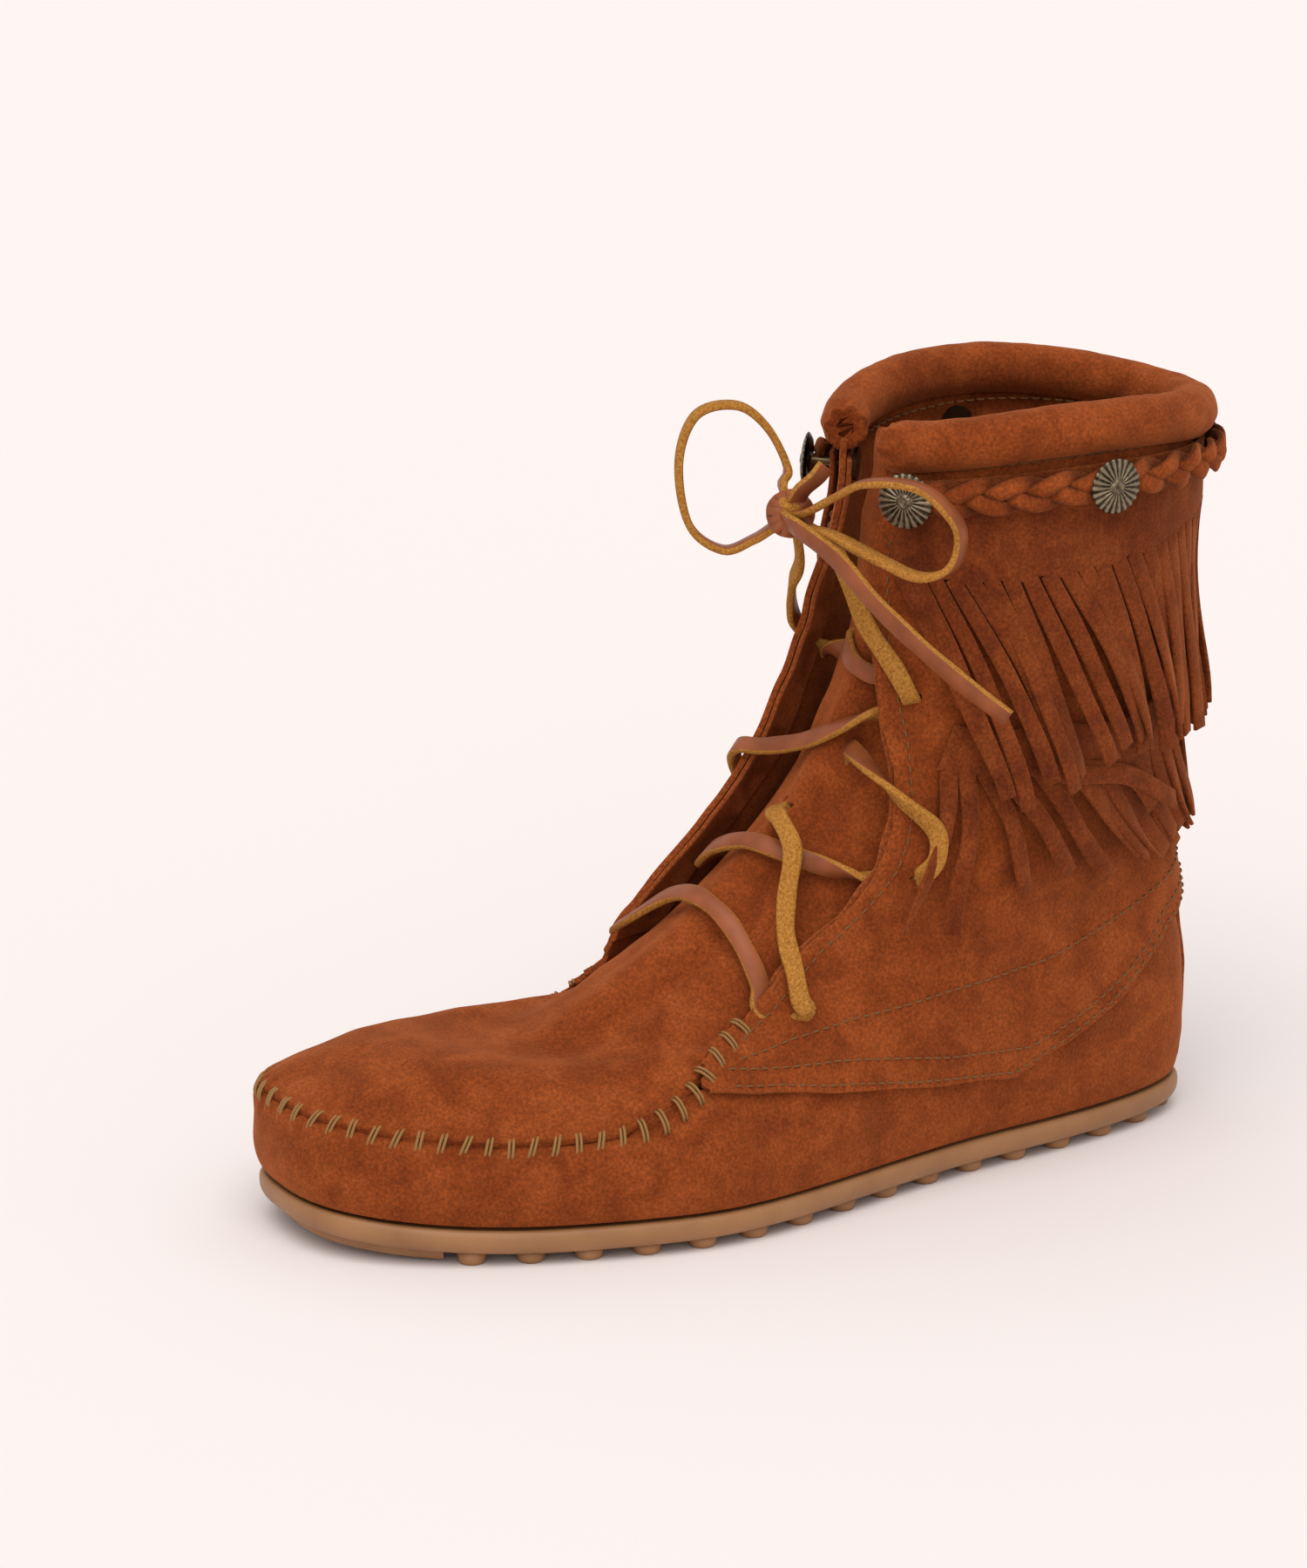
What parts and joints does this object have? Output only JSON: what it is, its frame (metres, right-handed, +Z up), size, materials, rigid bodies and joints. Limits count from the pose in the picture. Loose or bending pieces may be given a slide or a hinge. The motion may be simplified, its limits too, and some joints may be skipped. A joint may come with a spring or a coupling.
{
  "type": "fringed ankle moccasin boot",
  "caption": "Suede lace-up ankle moccasin with a puckered toe plug, whip-stitched seam, tied flat lace, braided band, domed studs and swinging fringe on a nubbed rubber sole.",
  "frame": {"origin": "on the ground, on the bottom face of the middle tread nub, under the middle of the sole's length", "axes": "+Z up, toe towards -Y and heel towards +Y, outer (lateral) side of the left foot towards +X"},
  "size_m": [0.1133, 0.2711, 0.2076],
  "materials": {
    "suede": "napped suede",
    "trim_suede": "napped suede, raw edges",
    "footbed_lining": "soft lining",
    "collar_foam": "open foam",
    "gum_rubber": "matte gum",
    "antique_brass": "antiqued, worn on the ridges",
    "lace_leather": "smooth grain face, napped ochre flesh side and edges"
  },
  "bodies": {
    "root": {"back_stay": "trim_suede", "bow_knot": "lace_leather", "bow_loop_lateral": "lace_leather", "bow_loop_medial": "lace_leather", "braid_strand_1": "trim_suede", "braid_strand_2": "trim_suede", "braid_strand_3": "trim_suede", "collar_cover": "suede", "collar_foam": "collar_foam", "concho_lateral_front": "antique_brass", "concho_lateral_rear": "antique_brass", "concho_medial_front": "antique_brass", "concho_medial_rear": "antique_brass", "concho_rivet_lateral_front": "antique_brass", "concho_rivet_lateral_rear": "antique_brass", "concho_rivet_medial_front": "antique_brass", "concho_rivet_medial_rear": "antique_brass", "footbed": "footbed_lining", "lace_lateral_run": "lace_leather", "lace_long_end": "lace_leather", "lace_medial_run": "lace_leather", "lace_short_end": "lace_leather", "lateral_lace_facing": "trim_suede", "lateral_quarter": "suede", "lower_fringe_header": "suede", "medial_lace_facing": "trim_suede", "medial_quarter": "suede", "outsole": "gum_rubber", "plug_tongue": "suede", "upper_fringe_header": "suede", "vamp": "suede"},
    "lower_fringe_back": {"lower_fringe_back": "suede"},
    "lower_fringe_lateral_front": {"lower_fringe_lateral_front": "suede"},
    "lower_fringe_lateral_rear": {"lower_fringe_lateral_rear": "suede"},
    "lower_fringe_medial_front": {"lower_fringe_medial_front": "suede"},
    "lower_fringe_medial_rear": {"lower_fringe_medial_rear": "suede"},
    "upper_fringe_back": {"upper_fringe_back": "suede"},
    "upper_fringe_lateral_front": {"upper_fringe_lateral_front": "suede"},
    "upper_fringe_lateral_rear": {"upper_fringe_lateral_rear": "suede"},
    "upper_fringe_medial_front": {"upper_fringe_medial_front": "suede"},
    "upper_fringe_medial_rear": {"upper_fringe_medial_rear": "suede"}
  },
  "joints": [
    {"name": "upper_fringe_lateral_front_swing", "type": "hinge", "parent": "root", "child": "upper_fringe_lateral_front", "pos_m": [0.0345, 0.0528, 0.1623], "axis": [-0.4092, -0.9124, -0.011], "range_deg": [0, 30]},
    {"name": "upper_fringe_lateral_rear_swing", "type": "hinge", "parent": "root", "child": "upper_fringe_lateral_rear", "pos_m": [0.0341, 0.1074, 0.1669], "axis": [0.4573, -0.8735, -0.1671], "range_deg": [0, 30]},
    {"name": "upper_fringe_back_swing", "type": "hinge", "parent": "root", "child": "upper_fringe_back", "pos_m": [0, 0.1324, 0.1712], "axis": [1, 0, 0], "range_deg": [0, 30]},
    {"name": "upper_fringe_medial_rear_swing", "type": "hinge", "parent": "root", "child": "upper_fringe_medial_rear", "pos_m": [-0.0341, 0.1074, 0.1669], "axis": [0.4569, 0.8737, 0.1669], "range_deg": [0, 30]},
    {"name": "upper_fringe_medial_front_swing", "type": "hinge", "parent": "root", "child": "upper_fringe_medial_front", "pos_m": [-0.0342, 0.0525, 0.1624], "axis": [-0.4059, 0.9138, 0.01], "range_deg": [0, 30]},
    {"name": "lower_fringe_lateral_front_swing", "type": "hinge", "parent": "root", "child": "lower_fringe_lateral_front", "pos_m": [0.0398, 0.0584, 0.1114], "axis": [-0.104, -0.9926, 0.063], "range_deg": [0, 30]},
    {"name": "lower_fringe_lateral_rear_swing", "type": "hinge", "parent": "root", "child": "lower_fringe_lateral_rear", "pos_m": [0.0315, 0.1021, 0.1134], "axis": [0.443, -0.876, -0.191], "range_deg": [0, 30]},
    {"name": "lower_fringe_back_swing", "type": "hinge", "parent": "root", "child": "lower_fringe_back", "pos_m": [0, 0.1289, 0.1186], "axis": [1, 0, 0], "range_deg": [0, 30]},
    {"name": "lower_fringe_medial_rear_swing", "type": "hinge", "parent": "root", "child": "lower_fringe_medial_rear", "pos_m": [-0.0307, 0.1019, 0.1139], "axis": [0.4472, 0.8773, 0.1741], "range_deg": [0, 30]},
    {"name": "lower_fringe_medial_front_swing", "type": "hinge", "parent": "root", "child": "lower_fringe_medial_front", "pos_m": [-0.0396, 0.0583, 0.1114], "axis": [-0.121, 0.9907, -0.062], "range_deg": [0, 30]}
  ],
  "couplings": [
    {"joint": "lower_fringe_lateral_front_swing", "follows": "upper_fringe_lateral_front_swing", "ratio": 1},
    {"joint": "lower_fringe_lateral_rear_swing", "follows": "upper_fringe_lateral_rear_swing", "ratio": 1},
    {"joint": "lower_fringe_back_swing", "follows": "upper_fringe_back_swing", "ratio": 1},
    {"joint": "lower_fringe_medial_rear_swing", "follows": "upper_fringe_medial_rear_swing", "ratio": 1},
    {"joint": "lower_fringe_medial_front_swing", "follows": "upper_fringe_medial_front_swing", "ratio": 1}
  ]
}
